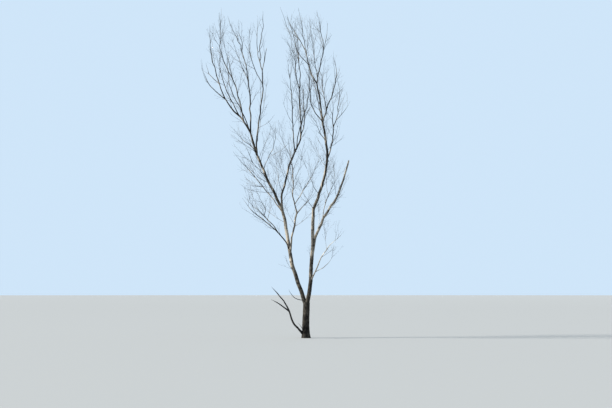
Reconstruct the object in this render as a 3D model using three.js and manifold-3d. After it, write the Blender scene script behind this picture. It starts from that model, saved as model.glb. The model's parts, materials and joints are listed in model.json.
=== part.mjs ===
import * as THREE from "three";
import { mergeVertices } from "three/addons/utils/BufferGeometryUtils.js";
import Module from "manifold-3d";

const wasm = await Module();
wasm.setup();

// A tall bare dead tree: a short trunk that parts into two upright boughs, and the limbs they carry.
// Sizes are millimetres. The origin is the middle of the flat cut under the trunk, +Z is up, +X is to
// the right of someone facing the tree, and +Y points away from them.

// Trunk, up to the crotch where the two boughs part
const TRUNK_TOP = [16, 0, 1010];
const TRUNK_BENDS = [-12, -6];
const TRUNK_THICK = [200, 186];
const TRUNK_SIDES = 24;
const TRUNK_RINGS = 8;

// Root flare: how far the foot swells, how fast it dies away upwards, and its uneven buttresses
const FLARE_SWELL = 0.26;
const FLARE_RISE = 130;
const BUTTRESSES = 5;
const BUTTRESS_SWELL = 0.11;
const BUTTRESS_TURN = 0.6;

// The trunk flattens to an oval and rounds over where it turns into two boughs
const SHOULDER_START = 640;
const SHOULDER_DEPTH = 0.62;
const TRUNK_ROUNDING = 60;

// Every limb: its clear gap to its neighbours, how its thickness runs out, and how it moves in depth
const GAP = 0.3;
const TAPER = 1.4;
const TURN_UP = 0.14;
const WANDER = 0.012;

// How finely a limb is faceted: from this thickness on, this many sides and this long between rings
const FACETS = [
  { thick: 70, sides: 10, step: 230 },
  { thick: 44, sides: 8, step: 235 },
  { thick: 29, sides: 7, step: 275 },
  { thick: 20, sides: 6, step: 255 },
  { thick: 0, sides: 5, step: 235 },
];

// Colours of the wood, darkest at the foot and bleached where the bark has gone
const WOOD = {
  foot: { color: "#332b27", roughness: 0.95 },
  bough: { color: "#6f665d", roughness: 0.9 },
  limb: { color: "#4f4740", roughness: 0.9 },
  bleached: { color: "#cfc6b6", roughness: 0.85 },
};

// Limbs, each named by where it grows.
//   on      the limb that carries it, and leaves, the height on that limb's middle line where it starts
//   tip     the far end: right, back and up
//   bends   how far the limb strays to the right of a straight line, at even steps along it
//   thick   diameter where it leaves and at its tip
const LIMBS = [
  // the left bough and the two boughs it parts into
  { name: "left_bough", on: "trunk", leaves: 830, tip: [-690, 300, 3625],
    bends: [-35, -100, -65, -5], thick: [116, 83], wood: "bough" },
  { name: "left_upper_bough", on: "left_bough", leaves: 3560, tip: [-1590, 250, 5815],
    bends: [-30, -75, -75, -60], thick: [79, 56], wood: "bough" },
  { name: "centre_bough", on: "left_bough", leaves: 3520, tip: [-145, 900, 5690],
    bends: [-140, -135, -145, -95], thick: [60, 46], wood: "bough" },

  // the centre of the crown, on the centre bough
  { name: "centre_leader", on: "centre_bough", leaves: 5650, tip: [-185, 1250, 7260],
    bends: [25, -5], thick: [42, 32], wood: "bough" },
  { name: "centre_right_leader", on: "centre_bough", leaves: 5625, tip: [-100, 1600, 7540],
    bends: [100, 45], thick: [31, 15], wood: "limb" },
  { name: "centre_left_leader", on: "centre_bough", leaves: 5300, tip: [-485, 700, 7600],
    bends: [-5, 5, 25], thick: [31, 19], wood: "bough" },
  { name: "centre_cross", on: "centre_bough", leaves: 5420, tip: [100, 500, 7260],
    bends: [-40, 30, 55], thick: [27, 14], wood: "limb" },
  { name: "centre_top_left", on: "centre_leader", leaves: 7235, tip: [-530, 900, 8515],
    bends: [-5, 110], thick: [28, 10], wood: "limb" },
  { name: "centre_top_right", on: "centre_leader", leaves: 7235, tip: [-550, 1100, 9400],
    bends: [100, 110, 85], thick: [26, 9], wood: "limb" },

  // the middle bough, low between the two halves of the crown
  { name: "middle_bough", on: "left_bough", leaves: 2350, tip: [-240, -450, 3470],
    bends: [-15, -5], thick: [55, 42], wood: "bough" },
  { name: "middle_upper_bough", on: "middle_bough", leaves: 3435, tip: [-475, -1000, 5295],
    bends: [-45, -15, 30, 10], thick: [35, 12], wood: "bough" },
  { name: "middle_right_upper", on: "middle_upper_bough", leaves: 3655, tip: [280, -1100, 4630],
    bends: [30, 40], thick: [22, 9], wood: "limb" },
  { name: "middle_right_lower", on: "middle_bough", leaves: 3415, tip: [150, -700, 3915],
    bends: [25, 65], thick: [19, 9], wood: "limb" },

  // the right bough, then the limb it becomes above its first bend
  { name: "right_bough", on: "trunk", leaves: 845, tip: [205, -250, 3600],
    bends: [60, 50, 55, 15], thick: [116, 85], wood: "bough" },
  { name: "right_upper_bough", on: "right_bough", leaves: 3535, tip: [445, -450, 6030],
    bends: [130, 230, 230, 130], thick: [80, 53], wood: "bough" },

  // the right top of the crown
  { name: "right_leader", on: "right_upper_bough", leaves: 5990, tip: [295, -350, 7085],
    bends: [15, 20], thick: [48, 37], wood: "limb" },
  { name: "right_leader_bend", on: "right_leader", leaves: 7055, tip: [-20, -150, 8055],
    bends: [-75, -50, -25], thick: [36, 25], wood: "limb" },
  { name: "right_leader_top", on: "right_leader_bend", leaves: 8035, tip: [-560, 150, 9160],
    bends: [-15, -10, -25], thick: [24, 8], wood: "limb" },
  { name: "right_leader_side", on: "right_leader_bend", leaves: 7625, tip: [-445, -500, 8420],
    bends: [-95, -75, -30], thick: [21, 9], wood: "limb" },
  { name: "right_fork_outer", on: "right_leader", leaves: 7035, tip: [305, -900, 8955],
    bends: [60, 180, 150, 60], thick: [30, 8], wood: "limb" },
  { name: "right_fork_outer_side", on: "right_fork_outer", leaves: 7920, tip: [605, -600, 8735],
    bends: [20, 30], thick: [16, 8], wood: "limb" },
  { name: "right_fork_middle", on: "right_fork_outer", leaves: 7190, tip: [170, 200, 8615],
    bends: [-20, -10, -10], thick: [21, 9], wood: "limb" },
  { name: "right_inner_side", on: "right_upper_bough", leaves: 5960, tip: [90, -1100, 7365],
    bends: [-205, -160, -85], thick: [27, 12], wood: "limb" },
  { name: "right_inner_parallel", on: "right_upper_bough", leaves: 5975, tip: [215, 200, 7335],
    bends: [-10, -20], thick: [28, 14], wood: "limb" },
  { name: "right_outer_limb", on: "right_upper_bough", leaves: 5970, tip: [735, -1200, 7590],
    bends: [80, 145, 180, 150], thick: [35, 9], wood: "limb" },
  { name: "right_outer_inner", on: "right_outer_limb", leaves: 6260, tip: [420, -700, 7295],
    bends: [-15, -10], thick: [24, 11], wood: "limb" },
  { name: "right_inner_shoot", on: "right_upper_bough", leaves: 5435, tip: [250, -900, 5915],
    bends: [-50, -35], thick: [22, 9], wood: "limb" },

  // the right side of the crown
  { name: "right_side_bough", on: "right_upper_bough", leaves: 4935, tip: [775, 350, 6785],
    bends: [95, 95, 55, 30], thick: [39, 11], wood: "limb" },
  { name: "right_side_outer", on: "right_side_bough", leaves: 5900, tip: [975, 700, 7215],
    bends: [65, 45, 45], thick: [23, 10], wood: "limb" },
  { name: "right_side_far", on: "right_side_outer", leaves: 6140, tip: [1255, 0, 6630],
    bends: [50, 40], thick: [15, 8], wood: "limb" },

  // the snapped bough on the right, and a shoot that it carries
  { name: "broken_bough", on: "right_bough", leaves: 2330, tip: [1220, 650, 4980],
    bends: [-90, -80, 55, 65], thick: [79, 46], wood: "bough" },
  { name: "broken_bough_shoot", on: "broken_bough", leaves: 3290, tip: [775, 100, 4535],
    bends: [-55, -5, 50], thick: [21, 9], wood: "limb" },

  // the low branch on the right that has lost its bark
  { name: "pale_branch", on: "right_bough", leaves: 1565, tip: [950, -700, 2785],
    bends: [-55, -135, -150], thick: [38, 16], wood: "bleached" },
  { name: "pale_branch_side", on: "pale_branch", leaves: 1820, tip: [775, -150, 2280],
    bends: [125, 60], thick: [19, 9], wood: "bleached" },

  // the low limbs that reach out to the left
  { name: "low_left_bough", on: "left_bough", leaves: 2435, tip: [-1730, -900, 3805],
    bends: [115, 105, 15, -60], thick: [38, 9], wood: "limb" },
  { name: "low_left_upper", on: "low_left_bough", leaves: 2900, tip: [-1670, -350, 3845],
    bends: [60, 35, 50, -5], thick: [25, 9], wood: "limb" },
  { name: "low_left_side", on: "low_left_upper", leaves: 3345, tip: [-1300, -1100, 3925],
    bends: [90, 65, 20], thick: [19, 8], wood: "limb" },
  { name: "left_side_long", on: "left_bough", leaves: 3480, tip: [-2135, 900, 5340],
    bends: [55, 45, 15], thick: [31, 9], wood: "limb" },

  // side limbs of the left upper bough
  { name: "left_side_short", on: "left_upper_bough", leaves: 4445, tip: [-1765, -500, 4985],
    bends: [30, 110], thick: [21, 8], wood: "limb" },
  { name: "left_side_lower", on: "left_side_short", leaves: 4815, tip: [-1770, -900, 5330],
    bends: [25, 65], thick: [15, 8], wood: "limb" },
  { name: "left_side_upper", on: "left_upper_bough", leaves: 5240, tip: [-2070, 400, 5915],
    bends: [-5, -65], thick: [20, 8], wood: "limb" },
  { name: "right_shoot_long", on: "left_upper_bough", leaves: 4700, tip: [-855, -700, 5925],
    bends: [60, 170, 100], thick: [17, 8], wood: "limb" },

  // the tall limb on the inner side of the left half
  { name: "inner_left_bough", on: "left_upper_bough", leaves: 5140, tip: [-1185, -900, 8980],
    bends: [-20, 45, 105, 55, -45, 15], thick: [41, 9], wood: "limb" },
  { name: "inner_left_twin", on: "inner_left_bough", leaves: 7550, tip: [-1345, -700, 8815],
    bends: [-65, -60, -25], thick: [18, 8], wood: "limb" },
  { name: "inner_left_stub", on: "inner_left_bough", leaves: 7355, tip: [-1100, -450, 8020],
    bends: [0, -5], thick: [19, 13], wood: "limb" },
  { name: "inner_left_side", on: "inner_left_bough", leaves: 7000, tip: [-1540, -1200, 8360],
    bends: [-115, -145, -95], thick: [20, 8], wood: "limb" },

  // the limbs that fan out from the end of the left upper bough
  { name: "left_outer_bough", on: "left_upper_bough", leaves: 5775, tip: [-2330, 350, 6785],
    bends: [55, -15], thick: [53, 34], wood: "bough" },
  { name: "left_centre_leader", on: "left_upper_bough", leaves: 5755, tip: [-2265, 900, 9145],
    bends: [125, 215, 250, 190], thick: [43, 9], wood: "limb" },
  { name: "left_centre_fork", on: "left_centre_leader", leaves: 8265, tip: [-1965, 600, 9175],
    bends: [55, -5, -5], thick: [16, 8], wood: "limb" },
  { name: "left_centre_side", on: "left_centre_leader", leaves: 7320, tip: [-2205, 1300, 8775],
    bends: [-10, -20], thick: [19, 8], wood: "limb" },
  { name: "left_cross_limb", on: "left_upper_bough", leaves: 5735, tip: [-2145, -800, 7690],
    bends: [-40, -165, -155], thick: [30, 10], wood: "limb" },
  { name: "left_outer_leader", on: "left_outer_bough", leaves: 6765, tip: [-2780, 400, 8940],
    bends: [-80, -115, -150, -70], thick: [32, 9], wood: "limb" },
  { name: "left_outer_reach", on: "left_outer_bough", leaves: 6745, tip: [-2945, -200, 7585],
    bends: [-155, -115], thick: [25, 9], wood: "limb" },
  { name: "left_outer_side", on: "left_outer_leader", leaves: 7205, tip: [-2935, 900, 7975],
    bends: [-110, -95], thick: [20, 9], wood: "limb" },
  { name: "left_crown_limb", on: "left_outer_bough", leaves: 6110, tip: [-2410, -100, 9110],
    bends: [5, -70, -235, -140], thick: [36, 9], wood: "limb" },
  { name: "left_crown_side", on: "left_crown_limb", leaves: 7280, tip: [-2225, -900, 8000],
    bends: [25, -10], thick: [18, 8], wood: "limb" },
  { name: "left_inner_limb", on: "left_outer_bough", leaves: 6270, tip: [-2535, 900, 8215],
    bends: [-80, -160, -125], thick: [31, 11], wood: "limb" },

  // the dark low stem that leans out of the trunk's foot, and its fork
  { name: "basal_stem", on: "trunk", leaves: 60, tip: [-955, -350, 1410],
    bends: [-110, -25, 55, 60], thick: [58, 22], wood: "foot" },
  { name: "basal_stem_fork", on: "basal_stem", leaves: 730, tip: [-975, -550, 1070],
    bends: [30, 45], thick: [44, 14], wood: "foot" },
];

// The middle line of a limb: straight from its start to its tip, strayed sideways by its bends, swung in
// depth so that it leaves outwards before it turns up, with a slight wander that differs limb by limb.
function middleLine(start, tip, bends, turn) {
  const strays = [0, ...bends, 0];
  const last = strays.length - 1;
  const sideways = new THREE.CatmullRomCurve3(
    strays.map((stray, i) => new THREE.Vector3(stray, 0, i / last)), false, "catmullrom", 0.5);
  const reach = tip.clone().sub(start);
  const sway = WANDER * reach.length();
  return (t) => {
    const point = start.clone().addScaledVector(reach, t);
    point.x += sideways.getPoint(t).x;
    point.y += TURN_UP * reach.y * 4 * t * (1 - t);
    point.y += sway * Math.sin(Math.PI * t) * Math.sin(8.2 * t + turn);
    return point;
  };
}

// The rings of a limb: how far along its middle line each one stands, its centre, and how much of the
// full radius it keeps. They stand at even steps, and one more draws the end in.
function ringPlan(line, length, endRadius, rings) {
  const plan = [];
  for (let i = 0; i <= rings; i += 1) {
    plan.push({ t: ((length - 0.6 * endRadius) / length) * (i / rings), keep: 1 });
  }
  plan.push({ t: 1, keep: 0.55 });
  plan.forEach((ring) => { ring.centre = line(ring.t); });
  return plan;
}

// The point inside a limb at a given height, between the two rings that lie below and above it.
function pointAtHeight(plan, height) {
  const i = plan.findIndex(({ centre }) => centre.z > height);
  const below = plan[i - 1].centre;
  const above = plan[i].centre;
  return below.clone().lerp(above, (height - below.z) / (above.z - below.z));
}

// A closed tapering body round a middle line: a straight cylinder whose rows of vertices are moved onto
// rings that stand square to the line.
function limbGeometry(limb, swell) {
  const { line, plan, thick, sides } = limb;
  const geometry = new THREE.CylinderGeometry(1, 1, plan.length - 1, sides, plan.length - 1);
  const position = geometry.getAttribute("position");
  const back = new THREE.Vector3(0, 1, 0);
  for (let i = 0; i < position.count; i += 1) {
    const row = Math.round(position.getY(i) + (plan.length - 1) / 2);
    const { t, keep, centre } = plan[row];
    const ahead = line(Math.min(t + 0.01, 1)).sub(line(Math.max(t - 0.01, 0))).normalize();
    const side = new THREE.Vector3().crossVectors(back, ahead).normalize();
    const front = new THREE.Vector3().crossVectors(ahead, side);
    const radius = (keep * (thick[0] + (thick[1] - thick[0]) * t ** TAPER)) / 2 + swell;
    const point = centre.clone();
    point.addScaledVector(side, position.getZ(i) * radius);
    point.addScaledVector(front, position.getX(i) * radius);
    point.addScaledVector(ahead, row === plan.length - 1 ? swell : 0);
    position.setXYZ(i, point.x, point.y, point.z);
  }
  return geometry;
}

// The trunk: level rings, so that its foot is cut flat at the ground, with the root flare below and the
// flattened shoulders above.
function trunkGeometry(trunk, swell) {
  const { plan, thick, sides } = trunk;
  const geometry = new THREE.CylinderGeometry(1, 1, plan.length - 1, sides, plan.length - 1);
  const position = geometry.getAttribute("position");
  for (let i = 0; i < position.count; i += 1) {
    const row = Math.round(position.getY(i) + (plan.length - 1) / 2);
    const { t, keep, centre } = plan[row];
    const point = centre.clone();
    const around = Math.atan2(position.getX(i), position.getZ(i));
    const low = Math.exp(-point.z / FLARE_RISE);
    const buttress = BUTTRESS_SWELL * Math.sin(BUTTRESSES * around + Math.sin(around + BUTTRESS_TURN));
    const flare = 1 + low * (FLARE_SWELL + buttress);
    const radius = (keep * flare * (thick[0] + (thick[1] - thick[0]) * t)) / 2 + swell;
    const flat = THREE.MathUtils.smoothstep(point.z, SHOULDER_START, TRUNK_TOP[2]);
    point.x += position.getZ(i) * radius;
    point.y += position.getX(i) * radius * THREE.MathUtils.lerp(1, SHOULDER_DEPTH, flat);
    point.z += row === plan.length - 1 ? swell : 0;
    position.setXYZ(i, point.x, point.y, row === 0 ? 0 : point.z);
  }
  return geometry;
}

function toSolid(geometry) {
  geometry.deleteAttribute("normal");
  geometry.deleteAttribute("uv");
  const merged = mergeVertices(geometry);
  return new wasm.Manifold(new wasm.Mesh({
    numProp: 3,
    vertProperties: merged.getAttribute("position").array,
    triVerts: new Uint32Array(merged.getIndex().array),
  }));
}

function toGeometry(solid) {
  const { vertProperties, triVerts } = solid.getMesh();
  const geometry = new THREE.BufferGeometry();
  geometry.setAttribute("position", new THREE.BufferAttribute(new Float32Array(vertProperties), 3));
  geometry.setIndex(new THREE.BufferAttribute(new Uint32Array(triVerts), 1));
  geometry.computeVertexNormals();
  return geometry;
}

function boxesMeet(a, b) {
  return [0, 1, 2].every((axis) => a.min[axis] < b.max[axis] && b.min[axis] < a.max[axis]);
}

// What is left of a limb once everything that stood there before it has its room, without loose scraps.
function seated(solid, standing) {
  let rest = solid;
  for (const other of standing) {
    if (boxesMeet(rest.boundingBox(), other.boundingBox())) rest = rest.subtract(other);
  }
  return rest.decompose().reduce((a, b) => (b.volume() > a.volume() ? b : a));
}

const group = new THREE.Group();
const plans = new Map();
const standing = [];

function place(name, solid, start, wood) {
  const geometry = toGeometry(solid);
  geometry.translate(-start.x, -start.y, -start.z);
  const mesh = new THREE.Mesh(geometry, new THREE.MeshStandardMaterial({ ...WOOD[wood], metalness: 0 }));
  mesh.name = name;
  mesh.position.copy(start);
  group.add(mesh);
}

const foot = new THREE.Vector3(0, 0, 0);
const top = new THREE.Vector3(...TRUNK_TOP);
const trunkLine = middleLine(foot, top, TRUNK_BENDS, 0);
const trunk = {
  plan: ringPlan(trunkLine, top.length(), TRUNK_ROUNDING, TRUNK_RINGS),
  thick: TRUNK_THICK,
  sides: TRUNK_SIDES,
};
plans.set("trunk", trunk.plan);
standing.push(toSolid(trunkGeometry(trunk, GAP)));
place("trunk", toSolid(trunkGeometry(trunk, 0)), foot, "foot");

LIMBS.forEach(({ name, on, leaves, tip, bends, thick, wood }, i) => {
  const start = pointAtHeight(plans.get(on), leaves);
  const end = new THREE.Vector3(...tip);
  const length = end.distanceTo(start);
  const { sides, step } = FACETS.find((facet) => thick[0] >= facet.thick);
  const rings = Math.max(4, Math.round(length / step));
  const line = middleLine(start, end, bends, 2.4 * i);
  const limb = { line, plan: ringPlan(line, length, thick[1] / 2, rings), thick, sides };
  plans.set(name, limb.plan);
  place(name, seated(toSolid(limbGeometry(limb, 0)), standing), start, wood);
  standing.push(toSolid(limbGeometry(limb, GAP)));
});

export default group;
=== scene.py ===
# %% [markdown]
# # A tall bare tree, long dead
#
# The tree stands 9.4 m high on a slender trunk that parts low down into two boughs. It has no leaves, so
# what the eye reads is the line of every limb and the haze of fine twigs between them. The solids of the
# limbs come ready made. This lesson puts bark on them and grows the twigs.
#
# Everything is in metres unless a line says otherwise. The foot of the trunk is at the origin, +Z is up,
# and the viewer stands on the side of -Y.

import json
import math

import bmesh
import bpy
import numpy as np
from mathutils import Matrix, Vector, noise
from mathutils.kdtree import KDTree
from numpy.linalg import norm

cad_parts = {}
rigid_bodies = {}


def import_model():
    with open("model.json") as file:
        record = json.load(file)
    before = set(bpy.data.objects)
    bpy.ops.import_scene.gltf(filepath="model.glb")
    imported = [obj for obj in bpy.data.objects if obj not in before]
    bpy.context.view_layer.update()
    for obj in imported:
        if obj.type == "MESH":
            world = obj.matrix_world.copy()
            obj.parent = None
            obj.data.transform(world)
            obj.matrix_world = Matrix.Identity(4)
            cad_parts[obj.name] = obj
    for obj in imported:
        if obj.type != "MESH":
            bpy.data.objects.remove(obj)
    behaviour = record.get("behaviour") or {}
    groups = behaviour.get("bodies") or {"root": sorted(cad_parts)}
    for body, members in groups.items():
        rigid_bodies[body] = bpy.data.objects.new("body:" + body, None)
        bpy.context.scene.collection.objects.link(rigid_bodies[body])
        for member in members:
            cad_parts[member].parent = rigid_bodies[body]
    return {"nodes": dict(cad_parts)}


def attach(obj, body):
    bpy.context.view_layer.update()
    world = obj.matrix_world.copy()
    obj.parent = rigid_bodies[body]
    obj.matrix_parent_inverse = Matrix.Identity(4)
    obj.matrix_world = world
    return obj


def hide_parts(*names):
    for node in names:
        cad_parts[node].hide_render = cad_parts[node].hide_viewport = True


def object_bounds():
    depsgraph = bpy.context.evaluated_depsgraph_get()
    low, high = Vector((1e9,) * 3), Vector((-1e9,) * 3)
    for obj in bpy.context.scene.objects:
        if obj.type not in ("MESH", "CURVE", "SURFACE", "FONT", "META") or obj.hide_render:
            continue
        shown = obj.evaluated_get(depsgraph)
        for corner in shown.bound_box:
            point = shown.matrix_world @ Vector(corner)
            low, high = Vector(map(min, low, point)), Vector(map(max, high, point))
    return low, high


for left_over in list(bpy.data.objects):
    bpy.data.objects.remove(left_over)
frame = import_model()
scene = bpy.context.scene
cad_low, cad_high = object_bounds()
print(len(frame["nodes"]), "solids, from", list(cad_low), "to", list(cad_high))

# %% [markdown]
# ## The viewpoint
#
# The tree is seen from far off and low down, by someone who tilts their view up to take in the crown. From
# so far away the limbs keep their true proportions, so a long lens is used, and a real tilt rather than a
# shifted picture.

# %% Camera
EYE_HEIGHT = 1.25
STANDS_OFF = 26.0
TILT_UP = math.radians(5.4)


def placed(name, data):
    """A new object of the scene."""
    made = bpy.data.objects.new(name, data)
    scene.collection.objects.link(made)
    return made


camera_data = bpy.data.cameras.new("eye")
camera_data.lens = 55
camera_data.sensor_width = 36
camera = placed("eye", camera_data)
camera.location = (0, -STANDS_OFF, EYE_HEIGHT)
camera.rotation_euler = (math.pi / 2 + TILT_UP, 0, 0)
scene.camera = camera
print("camera", STANDS_OFF, "m off")

# %% [markdown]
# ## Reading the limbs
#
# The bark has to lie on the very limbs that were built, so each limb's middle line and thickness are
# measured from its solid. Every limb climbs from foot to tip, so a level cut gives one small outline, whose
# centre is a point of the middle line. The thickness is measured square to that line, since the cut slants
# across a leaning limb.

# %% A level cut through a solid
def points_of(mesh):
    places = np.empty(len(mesh.vertices) * 3, np.float32)
    mesh.vertices.foreach_get("co", places)
    return places.reshape(-1, 3)


def triangles_of(node):
    mesh = frame["nodes"][node].data
    mesh.calc_loop_triangles()
    corners = np.empty(len(mesh.loop_triangles) * 3, np.int32)
    mesh.loop_triangles.foreach_get("vertices", corners)
    return points_of(mesh)[corners].reshape(-1, 3, 3).astype(float)


def level_cut(triangles, height):
    """The edges of a level cut, as pairs of points with the wood on their left."""
    rise = triangles[:, :, 2] - height
    crossed = (rise.min(1) < 0) & (rise.max(1) > 0)
    triangles, rise = triangles[crossed], rise[crossed]
    above = rise > 0
    alone = np.where(above.sum(1) == 1, above.argmax(1), (~above).argmax(1))
    row = np.arange(len(triangles))
    ends = []
    for turn in (1, 2):
        other = (alone + turn) % 3
        share = rise[row, alone] / (rise[row, alone] - rise[row, other])
        ends.append(triangles[row, alone] * (1 - share[:, None]) + triangles[row, other] * share[:, None])
    edges = np.stack(ends, 1)[:, :, :2]
    outward = np.cross(triangles[:, 1] - triangles[:, 0], triangles[:, 2] - triangles[:, 0])
    along = edges[:, 1] - edges[:, 0]
    backwards = along[:, 1] * outward[:, 0] - along[:, 0] * outward[:, 1] < 0
    edges[backwards] = edges[backwards][:, ::-1]
    return edges


def centre_and_area(edges):
    twice = edges[:, 0, 0] * edges[:, 1, 1] - edges[:, 0, 1] * edges[:, 1, 0]
    area = twice.sum() / 2
    return ((edges[:, 0] + edges[:, 1]) * twice[:, None]).sum(0) / (6 * area), area


example = level_cut(triangles_of("left_bough"), 2.013)
print("the left bough at 2 m has its centre at", centre_and_area(example)[0].round(3))

# %% [markdown]
# Near its foot a limb is cut away to fit its carrier. So the reading runs from the tip down, stops where
# the outline starts to shrink, and is carried straight on from there into the carrier's wood, as the grain
# of a real branch is. The solids' tips are rounded over, so the last few thicknesses follow from the sound
# wood below them.

# %% Middle line and thickness of one limb
CUT_EVERY, BELOW_TIP = 0.02, 0.0131
SHRUNK = 0.93
FACET_CORNER = 0.98
ROUNDED_ROWS = 5
READ_STEP, EVENED_OVER = 0.03, 4


def unit(rows):
    return rows / norm(rows, axis=-1, keepdims=True)


def read_limb(node):
    """Rows of x, y, z and radius from foot to tip, measured from one solid."""
    triangles = triangles_of(node)
    heights = np.arange(triangles[:, :, 2].max() - BELOW_TIP, triangles[:, :, 2].min(), -CUT_EVERY)
    cuts = [level_cut(triangles, height) for height in heights]
    middles, areas = zip(*map(centre_and_area, cuts))
    centres = np.c_[middles, heights]
    ahead = unit(-np.gradient(centres, axis=0))
    square = np.array(areas) * ahead[:, 2]
    shrunk = np.nonzero(square[3:] < SHRUNK * square[1:-2])[0]
    last = max(4, (shrunk[0] + 2) if len(shrunk) else len(cuts))
    rows = []
    for centre, edges, way in zip(centres[:last], cuts, ahead):
        across = np.c_[edges[:, 0] - centre[:2], np.zeros(len(edges))]
        across -= (across @ way)[:, None] * way
        rows.append([*centre, FACET_CORNER * norm(across, axis=1).max()])
    rows = np.array(rows[::-1])
    if len(rows) > 3 * ROUNDED_ROWS:
        sound = rows[-3 * ROUNDED_ROWS : -ROUNDED_ROWS]
        taper = np.polyfit(sound[:, 2], sound[:, 3], 1)
        rows[-ROUNDED_ROWS:, 3] = np.polyval(taper, rows[-ROUNDED_ROWS:, 2])
    return rows


def smoothed(rows, reach):
    """Rows evened out over their neighbours; the two ends stay where they are."""
    reach = min(reach, len(rows) - 1)
    weight = np.hanning(2 * reach + 3)[1:-1]
    before = 2 * rows[0] - rows[reach:0:-1]
    after = 2 * rows[-1] - rows[-2 : -reach - 2 : -1]
    padded = np.concatenate([before, rows, after])
    return np.stack([np.convolve(column, weight / weight.sum(), "valid") for column in padded.T], 1)


def steps_along(points):
    """The lengths from point to point of a line, or of a batch of lines."""
    return norm(np.diff(points, axis=-2), axis=-1)


def read_off(places, known, rows):
    return np.stack([np.interp(places, known, column) for column in rows.T], 1)


def evenly(rows, step):
    """The same line with its rows an even step apart."""
    run = np.r_[0, steps_along(rows[:, :3]).cumsum()]
    return read_off(np.linspace(0, run[-1], max(2, round(run[-1] / step) + 1)), run, rows)


def nearest_row(rows, point):
    return norm(rows[:, :3] - point, axis=1).argmin()


def turns_of(count):
    """Even turns round a ring."""
    return np.arange(count) * 2 * math.pi / count


limb_names = sorted(set(frame["nodes"]) - {"trunk"})
limbs = {name: smoothed(evenly(read_limb(name), READ_STEP), EVENED_OVER) for name in limb_names}
print(len(limbs), "limbs,", round(sum(map(len, limbs.values())) * READ_STEP), "m of them")

# %% The trunk, whose outline isn't round
TRUNK_AROUND = 64
TRUNK_CUTS = np.arange(0.004, 0.99, 0.03)

trunk_triangles = triangles_of("trunk")
trunk_turns = turns_of(TRUNK_AROUND)
trunk_line, trunk_reach = [], []
for height in TRUNK_CUTS:
    edges = level_cut(trunk_triangles, height)
    centre = centre_and_area(edges)[0]
    out = edges[:, 0] - centre
    turn = np.arctan2(out[:, 1], out[:, 0])
    order = turn.argsort()
    reach = norm(out, axis=1)[order]
    trunk_reach.append(np.interp(trunk_turns, turn[order], reach, period=2 * math.pi))
    trunk_line.append([*centre, height, reach.mean()])
trunk_line, trunk_reach = np.array(trunk_line), np.array(trunk_reach)
print("the trunk is", round(2 * trunk_line[0, 3], 3), "m thick at the foot")

# %% Carry every line on into its carrier
CARRIED_ON = 0.5
FOOT_ROWS = 6
THICK_ENOUGH = 0.8


def deepest(name, rows):
    """Foot rows added to a limb, so that it starts near the middle of the limb that carries it."""
    down = unit(rows[0, :3] - rows[min(FOOT_ROWS, len(rows) - 1), :3])
    steps = np.arange(CUT_EVERY, CARRIED_ON, CUT_EVERY)
    added = np.c_[rows[0, :3] + steps[:, None] * down, np.full(len(steps), rows[0, 3])]
    fitting = []
    for other, line in carriers.items():
        gaps = norm(added[:, None, :3] - line[None, :, :3], axis=2)
        near = gaps.argmin(1)
        inside = gaps.min(1) / line[near, 3]
        at = int(inside.argmin())
        stout = line[near[at], 3] > THICK_ENOUGH * rows[0, 3] and line[:, 3].max() >= rows[0, 3]
        if other != name and stout:
            fitting.append((inside[at], at, other, line[near[at]]))
    _, at, other, heart = min(fitting, key=lambda entry: entry[0])
    added = added[: at + 1]
    added[:, :3] += np.linspace(0, 1, at + 2)[1:, None] * (heart[:3] - added[at, :3])
    return other, heart[3], np.concatenate([added[::-1], rows])


carriers = {**limbs, "trunk": trunk_line}
carried_by = {}
grown = {}
for name, rows in limbs.items():
    other, girth, grown[name] = deepest(name, rows)
    carried_by[name] = (other, girth)
print("middle_bough is carried by", carried_by["middle_bough"][0])
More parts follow.
